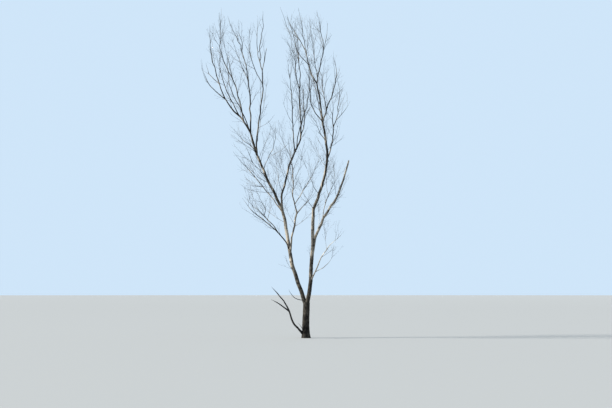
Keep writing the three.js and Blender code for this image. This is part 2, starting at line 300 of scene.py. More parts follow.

# %% [markdown]
# ## Shoots that stand out by themselves
#
# Between the limbs stand longer shoots that the eye picks out one by one, such as the hooked ones low on
# the left half. A random rule would never put them there, so they are listed. Each has its carrier,
# its foot and tip in centimetres, how far it bows out before it turns up in hundredths of its length, and
# its thickness at the foot in millimetres. The kind of wood comes last, unless it is the thin bark of most
# limbs.

# %% Listed shoots
PLACED_SHOOTS = (
    ("left_bough", (-4, -15, 108), (-47, -40, 133), 22, 22, "foot"),
    ("trunk", (-10, -5, 10), (-22, -15, 42), -5, 20, "foot"),
    ("left_upper_bough", (-110, 25, 431), (-156, -30, 475), 16, 14),
    ("left_upper_bough", (-125, 25, 492), (-108, -20, 551), -10, 11),
    ("left_upper_bough", (-141, 25, 522), (-186, 10, 550), 5, 11),
    ("left_upper_bough", (-135, 25, 530), (-109, -30, 710), 3, 13, "bleached"),
    ("left_bough", (-62, 28, 320), (-120, 75, 366), 5, 11),
    ("left_bough", (-66, 28, 335), (-72, 95, 412), 8, 10),
    ("left_upper_bough", (-85, 25, 390), (-78, 75, 490), 6, 12),
    ("left_upper_bough", (-98, 25, 420), (-162, 60, 442), 10, 10),
    ("left_upper_bough", (-92, 25, 405), (-175, 10, 416), 6, 9),
    ("right_upper_bough", (34, -30, 396), (0, -50, 471), 8, 14),
    ("right_bough", (19, -25, 355), (-10, -60, 401), 5, 12),
    ("right_upper_bough", (56, -40, 470), (30, 30, 530), 6, 11),
    ("middle_bough", (-30, -40, 305), (-52, -80, 346), 5, 10),
    ("middle_bough", (-27, -45, 295), (24, -75, 352), 8, 10),
    ("middle_upper_bough", (-40, -80, 420), (-12, -100, 485), 10, 10),
    ("middle_upper_bough", (-36, -70, 405), (-66, -95, 472), 8, 10),
    ("centre_bough", (-46, 75, 510), (-72, 80, 610), 12, 12),
    ("centre_bough", (-57, 60, 451), (-80, 60, 503), 8, 10),
    ("centre_bough", (-64, 50, 410), (-84, 45, 495), 10, 11),
    ("centre_bough", (-66, 45, 380), (-40, 95, 460), 6, 10),
    ("centre_left_leader", (-48, 70, 745), (-54, 70, 798), 4, 13, "bleached"),
    ("centre_left_leader", (-47, 70, 750), (-38, 70, 798), 6, 11, "bleached"),
    ("centre_left_leader", (-38, 60, 610), (-66, 60, 672), 10, 11),
    ("centre_left_leader", (-40, 60, 600), (-20, 50, 650), 10, 10),
    ("broken_bough_shoot", (78, 35, 410), (90, 40, 460), 6, 9),
    ("broken_bough_shoot", (74, 30, 395), (59, 10, 462), 14, 11),
    ("broken_bough", (36, 5, 285), (36, 10, 355), 6, 14, "bleached"),
    ("broken_bough", (88, 40, 395), (80, 75, 485), 8, 11),
    ("broken_bough", (72, 30, 355), (112, -5, 435), 10, 10),
    ("low_left_upper", (-110, -50, 320), (-95, -60, 387), 12, 11),
    ("left_side_long", (-145, 60, 455), (-170, 75, 472), 5, 9),
    ("right_leader_bend", (-3, -15, 804), (-22, 10, 933), -3, 20),
    ("right_leader_bend", (2, -20, 790), (3, -30, 875), 5, 12),
    ("right_side_bough", (75, 10, 530), (91, 20, 595), 6, 11),
    ("right_side_bough", (73, 10, 520), (108, 20, 570), 10, 11),
    ("right_upper_bough", (60, -45, 505), (59, -10, 634), 3, 11),
    ("left_outer_reach", (-262, 5, 705), (-295, -10, 755), 8, 11),
    ("pale_branch", (55, -50, 240), (53, -50, 272), 4, 11, "bleached"),
    ("inner_left_bough", (-133, -30, 575), (-86, -50, 615), 12, 10),
    ("right_leader_side", (-42, -50, 873), (-72, -35, 924), 2, 13),
    ("left_crown_limb", (-239, -30, 851), (-238, -35, 922), 0, 13),
    ("left_crown_limb", (-240, -25, 815), (-230, -10, 888), 2, 11),
    ("left_crown_limb", (-241, -25, 812), (-259, -70, 839), 4, 10),
    ("left_crown_limb", (-241, -30, 836), (-260, -10, 882), 4, 10),
    ("left_centre_leader", (-221, 90, 899), (-230, 80, 934), 2, 12),
    ("right_fork_middle", (28, 10, 798), (13, 40, 891), 3, 12),
)
LINE_STEP = 0.02
BOW_ROWS, SLIMMER = 25, 0.5


def bowed(foot, tip, bow, thick):
    """Rows of a shoot that leaves outwards and turns up, slimmer towards its tip."""
    span = tip - foot
    pull = unit(span * [1, 1, 0]) - [0, 0, 1]
    middle = (foot + tip) / 2 + bow * norm(span) * pull
    share = np.linspace(0, 1, BOW_ROWS)[:, None]
    line = foot * (1 - share) ** 2 + middle * 2 * share * (1 - share) + tip * share**2
    return np.hstack([line, thick / 2 * (1 - SLIMMER * share)])


kinds = dict.fromkeys(("basal_stem", "basal_stem_fork"), "foot")
kinds |= dict.fromkeys(("pale_branch", "pale_branch_side"), "bleached")
for number, (other, foot, tip, bow, thick, *kind) in enumerate(PLACED_SHOOTS):
    foot, tip = np.array(foot) / 100, np.array(tip) / 100
    carrier = grown.get(other, trunk_line)
    heart = carrier[nearest_row(carrier, foot)]
    name = f"shoot_{number}"
    grown[name] = evenly(bowed(heart[:3], tip, bow / 100, thick / 1000), LINE_STEP)
    carried_by[name] = (other, heart[3])
    kinds[name] = kind[0] if kind else "limb"
print(len(PLACED_SHOOTS), "shoots placed by hand")

# %% [markdown]
# ## Slender tips
#
# A solid can't be drawn out to nothing, so the slender limbs end about 8 mm thick. On the tree they run out
# to a thread, which is why the crown fades away at its edge. Two limbs have snapped, and end as thick as
# they are.

# %% Run the slender limbs out to a thread
BROKEN = ("broken_bough", "inner_left_stub")
SLENDER, SLIM_TIP = 0.012, 0.0014
FADE_LENGTH, FADE_SHARE, FOOT_FADE = 0.5, 0.55, 0.5
FADE_CURVE = 0.8

slender = [name for name, rows in grown.items() if rows[-1, 3] < SLENDER and name not in BROKEN]
for name in slender:
    rows = grown[name]
    to_tip = np.r_[steps_along(rows[:, :3])[::-1].cumsum()[::-1], 0]
    fade = min(FADE_LENGTH, FADE_SHARE * to_tip[0]) * (FOOT_FADE if kinds.get(name) == "foot" else 1)
    left = np.minimum(1, to_tip / fade) ** FADE_CURVE
    rows[:, 3] *= left + (1 - left) * SLIM_TIP / rows[-1, 3]
print(len(slender), "limbs and shoots run out to", 2000 * SLIM_TIP, "mm")

# %% [markdown]
# ## Natural crookedness
#
# A limb isn't a clean curve. It kinks a little wherever a shoot once left it or a bud died, and runs nearly
# straight from one kink to the next. So each limb is shifted at uneven steps, with straight lines between
# them, and not at all at its two ends, which keeps the crown's outline.
#
# A limb also has to go where its carrier goes. At its foot it is moved by as much as the carrier is there,
# and that fades towards its tip.

# %% Kink every limb, from the trunk outwards
KINK_STEPS, STEPS_FOR = (0.10, 0.26), 0.15
KINK_SHIFT, THICK_SHIFT = 0.011, 0.009
LESS_UPWARDS = (1, 1, 0.4)
STILL_END = 0.35

chance = np.random.default_rng(452)
shifts = {"trunk": np.zeros((len(trunk_line), 3))}
waiting = list(grown)
while waiting:
    name = waiting.pop(0)
    other = carried_by[name][0]
    if other not in shifts:
        waiting.append(name)
        continue
    rows = grown[name]
    run = np.r_[0, steps_along(rows[:, :3]).cumsum()]
    uneven = chance.uniform(*KINK_STEPS, int(run[-1] / STEPS_FOR) + 2)
    knots = np.r_[0, KINK_STEPS[0] + uneven.cumsum()]
    size = THICK_SHIFT if rows[-1, 3] > SLENDER else KINK_SHIFT
    moves = chance.normal(scale=size, size=(len(knots), 3)) * LESS_UPWARDS
    fade = np.minimum(1, np.minimum(run / STILL_END, (run[-1] - run) / STILL_END))
    own = read_off(run, knots, moves) * fade[:, None]
    carrier = grown.get(other, trunk_line)
    carried = shifts[other][nearest_row(carrier, rows[0, :3])]
    shifts[name] = own + carried * (1 - run / run[-1])[:, None]

lines = {"trunk": trunk_line}
for name, rows in grown.items():
    lines[name] = evenly(np.c_[rows[:, :3] + shifts[name], rows[:, 3]], LINE_STEP)
print("the left upper bough moved", np.abs(shifts["left_upper_bough"]).max().round(3), "m at most")

# %% [markdown]
# ## Collars
#
# Where a branch leaves, the wood of both swells into a collar, strongest in the crotch and gone a few
# thicknesses further on. So the radius grows the nearer a point is to the carrier's surface, and never past
# the carrier's own. The two main boughs hardly swell, or they would hang out over the trunk's top.

# %% Swell the foot of every limb
COLLAR_SWELL, COLLAR_REACH = 0.32, 2.2
MAIN_BOUGHS, MAIN_SWELL = ("left_bough", "right_bough"), 0.06

for name, (other, girth) in carried_by.items():
    rows, carrier = lines[name], lines[other]
    gaps = norm(rows[:, None, :3] - carrier[None, :, :3], axis=2)
    outside = np.maximum(gaps.min(1) - carrier[gaps.argmin(1), 3], 0)
    most = MAIN_SWELL if name in MAIN_BOUGHS else COLLAR_SWELL
    swell = 1 + most * np.exp(-outside / (COLLAR_REACH * rows[:, 3]))
    rows[:, 3] = np.minimum(rows[:, 3] * swell, np.maximum(girth, rows[:, 3]))
print("the middle bough's collar is", round(2 * lines["middle_bough"][:, 3].max(), 3), "m thick")

# %% [markdown]
# ## From lines to skins
#
# A limb's skin is a row of rings, each square to the line, joined by four-cornered faces. One direction
# across the limb stays put from ring to ring, which keeps the skin from twisting.
#
# Every point of the skin also has a place in the straightened limb: how far round it stands, and how far
# along. Bark runs with the limb, so its pattern is drawn in those coordinates, and not in space.

# %% Rings round a line
def frames_of(points, level=None):
    """The directions along, across and forward at each point of a batch of lines; level sets their turn."""
    ahead = unit(np.gradient(points, axis=-2))
    mean = unit(points[..., -1:, :] - points[..., :1, :])
    least = np.eye(3)[np.abs(mean).argmin(-1)] if level is None else level
    across = np.cross(mean, least)
    across = unit(across - (across * ahead).sum(-1, keepdims=True) * ahead)
    return ahead, across, np.cross(ahead, across)


def ring_points(points, radii, sides):
    """The rings of a batch of tubes, and the way out at each of their points."""
    _, across, forward = frames_of(points)
    turns = turns_of(sides)
    out = np.cos(turns)[:, None] * across[..., None, :] + np.sin(turns)[:, None] * forward[..., None, :]
    return points[..., None, :] + radii[..., None, None] * out, out


def tube_faces(rings, sides, tubes=1):
    """The four-cornered walls and the many-cornered ends of closed tubes, one after another."""
    here = np.arange(sides)
    after = (here + 1) % sides
    low = np.arange(rings - 1)[:, None] * sides
    wall = np.stack([low + here, low + after, low + sides + after, low + sides + here], -1).reshape(-1, 4)
    ends = np.array([here[::-1], (rings - 1) * sides + here])
    first = np.arange(tubes)[:, None, None] * rings * sides
    return [(wall + first).reshape(-1, 4), (ends + first).reshape(-1, sides)]


def joined(batches):
    """Points and faces of many batches as one; a batch is its rings and the number of tubes they make."""
    places, faces, count = [], [], 0
    for rings, tubes in batches:
        around = rings.shape[-2]
        along = rings.size // 3 // around // tubes
        faces += [group + count for group in tube_faces(along, around, tubes)]
        places.append(rings.reshape(-1, 3))
        count += len(places[-1])
    return np.concatenate(places), faces


def new_piece(name, places, faces):
    """A mesh object from points and from arrays of faces, each array with its own number of corners."""
    mesh = bpy.data.meshes.new(name)
    corners = np.concatenate([group.ravel() for group in faces]).astype(np.int32)
    counts = np.concatenate([np.full(len(group), group.shape[1]) for group in faces])
    mesh.vertices.add(len(places))
    mesh.vertices.foreach_set("co", np.asarray(places, np.float32).ravel())
    mesh.loops.add(len(corners))
    mesh.loops.foreach_set("vertex_index", corners)
    mesh.polygons.add(len(counts))
    mesh.polygons.foreach_set("loop_start", (counts.cumsum() - counts).astype(np.int32))
    mesh.update(calc_edges=True)
    mesh.shade_smooth()
    return placed(name, mesh)


def triangle_count(piece):
    return sum(len(face.vertices) - 2 for face in piece.data.polygons)


print("a tube of 5 rings of 8 has", len(tube_faces(5, 8)[0]), "faces in its wall")

# %% [markdown]
# ## The thick wood as one skin
#
# On a real tree the trunk and the heavy boughs are one skin, with rounded crotches and no seam. Separate
# tubes would only run through each other. So closed tubes are stood into each other and remade as a single
# skin by a voxel remesh, which keeps whatever lies outermost. A light smoothing takes the grid's steps off,
# and a strong one near the boughs' feet rounds the crotches. Thin limbs would need far too fine a grid.
#
# Three things go in with them: the snapped bough's end is drawn out into splinters, side branches that
# broke off long ago have left short stubs, and the trunk runs on below the ground for a later clean cut.

# %% Lofts of the trunk and the heavy boughs
HEAVY = 0.030
LOFT_AROUND = 28
BELOW_GROUND = 0.05
SPLINTER = 0.06
UNEVEN, ONE_SIDED, HIGH_SIDE = 0.4, 0.6, 2
JAGGED_IN, SUNKEN_IN, SUNKEN_UP = 0.93, 0.55, 0.3

heavy = [name for name, rows in lines.items() if name != "trunk" and 2 * rows[-2, 3] > HEAVY]
print("heavy boughs:", ", ".join(heavy))

around = np.stack([np.cos(trunk_turns), np.sin(trunk_turns), 0 * trunk_turns], 1)
eased = smoothed(np.tile(trunk_reach, 3), 2)[:, TRUNK_AROUND : 2 * TRUNK_AROUND]
trunk_rings = lines["trunk"][:, None, :3] + eased[:, :, None] * around
trunk_rings = np.concatenate([trunk_rings[:1] - [0, 0, BELOW_GROUND], trunk_rings])

lofts = [(trunk_rings, 1)]
for name in heavy:
    rows = lines[name]
    rings, _ = ring_points(rows[:, :3], rows[:, 3], LOFT_AROUND)
    if name in BROKEN:
        ahead = unit(rows[-1, :3] - rows[-4, :3])
        longer = np.abs(chance.normal(size=LOFT_AROUND)) * SPLINTER * UNEVEN
        longer += SPLINTER * ONE_SIDED * (1 + np.cos(turns_of(LOFT_AROUND) + HIGH_SIDE))
        heart = rings[-1].mean(0)
        jagged = heart + JAGGED_IN * (rings[-1] - heart) + longer[:, None] * ahead
        sunken = heart + SUNKEN_IN * (rings[-1] - heart) + SUNKEN_UP * longer[:, None] * ahead
        rings = np.concatenate([rings, jagged[None], sunken[None]])
    lofts.append((rings, 1))
print(len(lofts), "lofts")

# %% Stubs of old side branches
STUBS = 26
STUB_THICK, STUB_LENGTH = (0.006, 0.013), (0.012, 0.05)
LEAST_OF_GIRTH = 0.45
LEANS_UP = 0.7
FOOT_SWELL, SWELL_FADES, STUB_TAPER = 1.1, 0.01, 0.25
STUB_ROWS, STUB_AROUND = 9, 10

for _ in range(STUBS):
    name = heavy[chance.integers(len(heavy))]
    rows = lines[name]
    at = chance.integers(len(rows) // 3, len(rows) - 6)
    ahead = unit(rows[at + 2, :3] - rows[at - 2, :3])
    way = unit(np.cross(ahead, chance.normal(size=3)))
    girth = rows[at, 3]
    thick = min(chance.uniform(*STUB_THICK), LEAST_OF_GIRTH * girth)
    length = girth + chance.uniform(*STUB_LENGTH)
    share = np.linspace(0, 1, STUB_ROWS)[:, None]
    line = rows[at, :3] + share * length * unit(way + LEANS_UP * ahead)
    outside = np.maximum(share[:, 0] * length - girth, 0)
    swell = 1 + FOOT_SWELL * np.exp(-outside / SWELL_FADES) - STUB_TAPER * share[:, 0]
    lofts.append((ring_points(line, thick * swell, STUB_AROUND)[0], 1))
raw = new_piece("raw_skin", *joined(lofts))
print("lofts and stubs:", len(raw.data.polygons), "faces")

# %% One skin
VOXEL = 0.0052


def modified(piece):
    """The mesh that a piece's modifiers make of it."""
    return bpy.data.meshes.new_from_object(piece.evaluated_get(bpy.context.evaluated_depsgraph_get()))


remesh = raw.modifiers.new("one skin", "REMESH")
remesh.mode = "VOXEL"
remesh.voxel_size = VOXEL
light = raw.modifiers.new("light smoothing", "SMOOTH")
light.factor = 0.5
light.iterations = 4
skin_mesh = modified(raw)
bpy.data.objects.remove(raw)
print("one skin:", len(skin_mesh.vertices), "points")

# %% Ease the crotches
EASINGS, EASING = 40, 0.6
CROTCH_REACH, LEAST_GIRTH = 2.6, 0.04
FULL_NEAR = 1.5
ABOVE_FLARE = 0.5

places = points_of(skin_mesh)
point_count = len(places)
neighbours = np.empty(len(skin_mesh.edges) * 2, np.int32)
skin_mesh.edges.foreach_get("vertices", neighbours)
one, other = neighbours.reshape(-1, 2).T
touching = np.bincount(neighbours, minlength=point_count)
eased_by = np.zeros(point_count)
for name in heavy:
    root, reach = lines[name][0, :3], CROTCH_REACH * max(lines[name][0, 3], LEAST_GIRTH)
    away = norm(places - root, axis=1)
    eased_by = np.maximum(eased_by, np.clip(FULL_NEAR - FULL_NEAR * away / reach, 0, 1))
eased_by[places[:, 2] < ABOVE_FLARE] = 0
for _ in range(EASINGS):
    sums = [
        np.bincount(one, axis[other], point_count) + np.bincount(other, axis[one], point_count)
        for axis in places.T
    ]
    places += EASING * eased_by[:, None] * (np.stack(sums, 1) / touching[:, None] - places)
skin_mesh.vertices.foreach_set("co", places.ravel())
skin_mesh.update()
print("points eased at the crotches:", int((eased_by > 0).sum()))

# %% [markdown]
# ## Bark
#
# On the old trunk furrows break the bark into long ridges, which are cracked across. On the boughs it is
# nearly smooth with shallow seams. Since the tree is dead, it has come away in places, most on the side
# that faces the weather and the lamp, and smooth pale wood shows there, a little lower than the bark round
# it. That lean towards the lamp is partly weathering and partly painted light, which makes the lit side
# paler. These are real steps in the surface, so the skin's points are moved, and what was done at each is
# kept for the colours, where the furrows also get painted shade.
#
# The bark is nearly black at the foot, growing lighter up to about 3 m, and painted shade makes it dark
# again high in the crown. That is kept as a tone, by height, with a few limbs set apart that are paler or
# darker than their neighbours and get no painted shade in the crown.

# %% Relief in the straightened limb
RIDGE_LENGTH, RIDGE_WIDTH = 0.13, (0.012, 0.12)
FURROW_WIDTH = 0.2
OLD_BARK = (0.5, 2.4)
CRACK_WIDTH, CRACK_DEPTH, CRACK_SPAN = 0.1, 0.7, (0.8, 2.6)
BARK_THICK = 0.045
ROUGH_SIZE, ROUGH_HEIGHT = 2.7, 0.35
LUMP_WAVE, LUMP_HEIGHT = 0.16, 0.05
PATCH_WIDE, PATCH_LONG = 0.11, 0.38
RAGGED_SIZE, RAGGED = 1.3, 0.25
RAGGED_AT = Vector((1, 9, 4))
# The side that faces both the weather and the lamp, and how strongly bare wood leans to it.
WEATHER_AND_LAMP_SIDE, WEATHER_AND_LAMP_PULL = Vector((-0.9, -0.3, 0.2)), 0.14
BARE_EDGE, BARE_DEPTH = (0.22, 0.31), 0.6
BARE_ABOVE = (1.3, 2.1)
SOUND_ABOVE, SOUND_SHARE = (4.4, 6.2), 0.55


def step_up(low, high, value):
    share = min(1, max(0, (value - low) / (high - low)))
    return share * share * (3 - 2 * share)


def bark_at(place, grain, girth, outward):
    """How far the surface lies out, how deep in a furrow it is, and how bare, at one point of the wood."""
    ridges = girth / (RIDGE_WIDTH[0] + RIDGE_WIDTH[1] * girth)
    drawn = Vector((ridges * grain[0], ridges * grain[1], grain[2] / RIDGE_LENGTH))
    furrow = max(0, 1 - abs(noise.noise(drawn)) / FURROW_WIDTH)
    old_bark = 1 - step_up(*OLD_BARK, place.z)
    crossing = Vector((drawn.x * CRACK_SPAN[0], drawn.y * CRACK_SPAN[0], drawn.z * CRACK_SPAN[1]))
    crack = max(0, 1 - abs(noise.noise(crossing)) / CRACK_WIDTH)
    furrow = max(furrow, CRACK_DEPTH * old_bark * crack)
    rough = noise.noise(drawn * ROUGH_SIZE)
    lumps = noise.noise(place / LUMP_WAVE)
    broad = noise.noise(Vector((place.x / PATCH_WIDE, place.y / PATCH_WIDE, place.z / PATCH_LONG)))
    ragged = RAGGED * noise.noise(drawn * RAGGED_SIZE + RAGGED_AT)
    # Bare wood leans to the lamp's side: partly weathering, partly painted light that makes the lit side
    # paler.
    weathered_and_lit = broad + ragged + WEATHER_AND_LAMP_PULL * outward.dot(WEATHER_AND_LAMP_SIDE)
    bare = step_up(*BARE_EDGE, weathered_and_lit) * step_up(*BARE_ABOVE, place.z)
    bare *= 1 - SOUND_SHARE * step_up(*SOUND_ABOVE, place.z)
    height = (1 - bare) * (ROUGH_HEIGHT * rough - furrow) - BARE_DEPTH * bare
    thick = BARK_THICK * (1 + old_bark)
    # The furrow's depth is also returned, for painted shade in the furrows.
    return girth * (thick * height + LUMP_HEIGHT * lumps), furrow * (1 - bare), bare


print("bark is at most", round(1000 * 2 * BARK_THICK * 0.1, 1), "mm thick on a trunk of 0.1 m radius")

# %% Tones with painted shade, and what is kept for the colours
FOOT_TONE, FOOT_TO = 0.17, (0.9, 2.9)
# Painted shade: high in the crown the bark is darkened to a small share of its colour.
CROWN_SHADE, CROWN_SHADE_FROM = 0.15, (3.35, 4.2)
LIMB_TONES = {
    **{"broken_bough": 1, "middle_bough": 1.2, "middle_upper_bough": 1.2, "middle_right_lower": 1},
    **dict.fromkeys(("low_left_bough", "low_left_upper", "low_left_side"), 0.3),
}


def tone_and_shade_at(name, height):
    """How light a limb's bark is at a height, as a share of its own colour, with painted shade in the crown.
    """
    foot = FOOT_TONE + (1 - FOOT_TONE) * step_up(*FOOT_TO, height)
    if name in LIMB_TONES:
        return foot * LIMB_TONES[name]
    # The crown's painted shade, which the limbs set apart above don't get.
    return foot * (1 - (1 - CROWN_SHADE) * step_up(*CROWN_SHADE_FROM, height))


def keep_finish(mesh, furrows, bares, tones, grains):
    """Leaves at each point what its colours need later."""
    for name, values in (("furrow", furrows), ("bare", bares), ("tone", tones)):
        mesh.attributes.new(name, "FLOAT", "POINT").data.foreach_set("value", np.asarray(values, np.float32))
    kept = mesh.attributes.new("grain", "FLOAT_VECTOR", "POINT")
    kept.data.foreach_set("vector", np.asarray(grains, np.float32).ravel())


print("tone of a bough at 1, 3 and 5 m:", [round(tone_and_shade_at("left_bough", height), 2) for height in (1, 3, 5)])

# %% [markdown]
# The one skin has lost its rings, so each of its points is given a place again, measured across and along
# from the nearest point of the middle lines. Where a bough goes on from its carrier's end, as after a bend,
# its bark is measured on from there too, so that the pattern doesn't break.

# %% Straighten the one skin
CORE_STEP = 0.015
FRESH_BARK, GOES_ON = 5, 0.9
NO_END = 9.0
SPLIT_END = 0.02


def bark_start(name):
    """How far along its bark a bough starts: on from its carrier's end, or afresh if it leaves lower down."""
    other = carried_by[name][0] if name in heavy else "trunk"
    if other in heavy:
        leaves_at = nearest_row(lines[other], lines[name][0, :3])
        if leaves_at > GOES_ON * len(lines[other]):
            return bark_start(other) + LINE_STEP * leaves_at
    return FRESH_BARK * (1 + heavy.index(name)) if name in heavy else 0


core_names, cores, core_frames = [], [], []
for name in ["trunk", *heavy]:
    rows = evenly(lines[name], CORE_STEP)
    run = np.arange(len(rows)) * CORE_STEP
    to_end = run[-1] - run if name in BROKEN else run + NO_END
    core_names += [name] * len(rows)
    cores.append(np.c_[rows, run + bark_start(name), to_end])
    core_frames.append(np.stack(frames_of(rows[:, :3], np.array([1.0, 0, 0])), 1))
cores, core_frames = np.concatenate(cores), np.concatenate(core_frames)
nearest = KDTree(len(cores))
for index, core in enumerate(cores):
    nearest.insert(core[:3], index)
nearest.balance()

places = points_of(skin_mesh)
normals = np.empty(places.size, np.float32)
skin_mesh.vertex_normals.foreach_get("vector", normals)
normals = normals.reshape(-1, 3)
found = np.array([nearest.find(place)[1] for place in places])
middle, girths, runs, to_ends = np.split(cores[found], (3, 4, 5), axis=1)
along, across, forward = np.einsum("nij,nj->in", core_frames[found], places - middle)
out = np.hypot(across, forward)
turned = np.stack([across / out, forward / out, runs[:, 0] + along], 1)
print("the right upper bough's bark goes on at", round(bark_start("right_upper_bough"), 2))
print("the skin's points stand", out.min().round(3), "to", out.max().round(3), "m off the middle lines")

# %% Move the skin's points
points = zip(places, turned, girths[:, 0], normals)
made = [bark_at(Vector(place), grain, girth, Vector(normal)) for place, grain, girth, normal in points]
moves, furrows, bares = np.array(made).T
bares = np.maximum(bares, to_ends[:, 0] - along < SPLIT_END)
moved = places + moves[:, None] * normals
skin_mesh.vertices.foreach_set("co", moved.astype(np.float32).ravel())
tones = [tone_and_shade_at(core_names[core], place[2]) for core, place in zip(found, places)]
keep_finish(skin_mesh, furrows, bares, tones, turned * np.c_[out, out, np.ones(len(out))])
print("bark moved by", (1000 * moves.min()).round(1), "to", (1000 * moves.max()).round(1), "mm")

# %% [markdown]
# The tree ends in a flat cut at ground level. The lofts ran on below it, so that the remesh could not round
# the cut's edge, and the skin is now cut off level and closed. Plain bark needs fewer faces than furrowed
# bark, so the mesh is thinned to a set number of triangles. That can leave a crumb of a few faces, or a
# point a hair below the ground. So what doesn't hang together with the top of the tree is cleared away, and
# the points are lifted to the ground last.

# %% Flat cut at the ground
SKIN_TRIANGLES = 190000

shaped = bmesh.new()
shaped.from_mesh(skin_mesh)
everything = shaped.verts[:] + shaped.edges[:] + shaped.faces[:]
bmesh.ops.bisect_plane(shaped, geom=everything, plane_co=(0, 0, 0), plane_no=(0, 0, -1), clear_outer=True)
bmesh.ops.contextual_create(shaped, geom=[edge for edge in shaped.edges if edge.is_boundary])
shaped.to_mesh(skin_mesh)
shaped.free()
skin = placed("trunk_and_boughs", skin_mesh)
thin_out = skin.modifiers.new("fewer faces", "DECIMATE")
thin_out.ratio = SKIN_TRIANGLES / triangle_count(skin)
skin.data = modified(skin)
skin.modifiers.clear()
shaped = bmesh.new()
shaped.from_mesh(skin.data)
joined_on, reached = [max(shaped.verts, key=lambda point: point.co.z)], set()
while joined_on:
    point = joined_on.pop()
    if point not in reached:
        reached.add(point)
        joined_on += [edge.other_vert(point) for edge in point.link_edges]
crumbs = [point for point in shaped.verts if point not in reached]
bmesh.ops.delete(shaped, geom=crumbs, context="VERTS")
for point in shaped.verts:
    point.co.z = max(0, point.co.z)
shaped.to_mesh(skin.data)
shaped.free()
skin.data.shade_smooth()
print("crumbs cleared away:", len(crumbs), "points")
print("trunk and boughs:", triangle_count(skin), "triangles")

# %% [markdown]
# ## The thinner limbs
#
# These stay tubes, each rooted in the skin of the limb that carries it. They get the same bark from the same
# function, so their surface runs on from the boughs' in kind.

# %% Tubes with bark
thin = [name for name in lines if name not in heavy and name != "trunk"]
SIDES_FROM = ((0.012, 14), (0.007, 10), (0, 8))
CLOSED_BY = ((0.012, 0.9), (0.02, 0.4))
THIN_BARK, THIN_APART = 60, 3


def limb_skin(name, order):
    """Rings and finish of one limb's tube."""
    rows = lines[name]
    if name in BROKEN:
        ahead = [*unit(rows[-1, :3] - rows[-3, :3]), 0]
        ends = [(rows[-1] + np.multiply(on, ahead)) * [1, 1, 1, thinner] for on, thinner in CLOSED_BY]
        rows = np.concatenate([rows, ends])
    sides = next(sides for least, sides in SIDES_FROM if rows[0, 3] > least)
    rings, out = ring_points(rows[:, :3], rows[:, 3], sides)
    runs = np.arange(len(rows)) * LINE_STEP + THIN_BARK + THIN_APART * order
    made = []
    for ring, outs, girth, run in zip(rings, out, rows[:, 3], runs):
        for place, outward, turn in zip(ring, outs, turns_of(sides)):
            grain = (math.cos(turn), math.sin(turn), run)
            bark = bark_at(Vector(place), grain, girth, Vector(outward))
            made.append([*bark, tone_and_shade_at(name, place[2]), *grain])
    made = np.array(made).reshape(*rings.shape[:2], 7)
    made[..., 4:6] *= rows[:, 3, None, None]
    rings = rings + made[..., :1] * out
    rings[..., 2] = np.maximum(rings[..., 2], 0)
    if name in BROKEN:
        rings[-2] += chance.uniform(0, SPLIT_END, (sides, 1)) * unit(rows[-1, :3] - rows[-3, :3])
        made[-3:, :, 2] = 1
    return rings, made.reshape(-1, 7)


def limb_piece(kind, piece_name):
    names = [name for name in thin if kinds.get(name, "limb") == kind]
    skins = [limb_skin(name, thin.index(name)) for name in names]
    piece = new_piece(piece_name, *joined([(rings, 1) for rings, _ in skins]))
    made = np.concatenate([finish for _, finish in skins])
    keep_finish(piece.data, made[:, 1], made[:, 2], made[:, 3], made[:, 4:])
    print(piece_name, triangle_count(piece), "triangles")
    return piece, [name for name in names if name in frame["nodes"]], kind


LIMB_PIECES = {"foot": "foot_stems", "bleached": "bleached_branches", "limb": "upper_limbs"}
limb_pieces = [limb_piece(*kind_and_name) for kind_and_name in LIMB_PIECES.items()]

# %% [markdown]
# ## Twigs
#
# The haze round the limbs is shoots, twigs on the shoots, and spurs on the twigs. One rule grows all three:
# a side shoot leaves at a sharp angle, a set distance beyond the last one and turned round the stem by the
# golden angle, and then bends up towards the light. At each bud it turns a little to and fro, and is a
# little thicker. A shoot with all it carries is a spray.
#
# A whole level is grown at once as one array of lines, which takes a fraction of a second. All chance comes
# from one seeded source, so the tree is the same each time.

# %% The growing rule
GOLDEN = math.pi * (3 - math.sqrt(5))
UP = np.array([0, 0, 1.0])
ZIGZAG, BUD_SWELL = 0.15, 0.16
OFF_PLACE, OFF_TURN, STEM_TURN = (0.1, 0.9), 0.5, 1.7


def grow(starts, headings, lengths, joints, lift, waver):
    """Lines that set out from starts and bend upwards, with a waver and a turn to and fro at each bud."""
    line = np.empty((len(starts), joints, 3))
    line[:, 0] = starts
    heading = unit(headings)
    to_and_fro = ZIGZAG * unit(np.cross(heading, chance.normal(size=heading.shape)))
    for joint in range(1, joints):
        heading = unit(heading + lift * UP + waver * chance.normal(size=heading.shape) + to_and_fro)
        to_and_fro = -to_and_fro
        line[:, joint] = line[:, joint - 1] + heading * lengths[:, None] / (joints - 1)
    return line


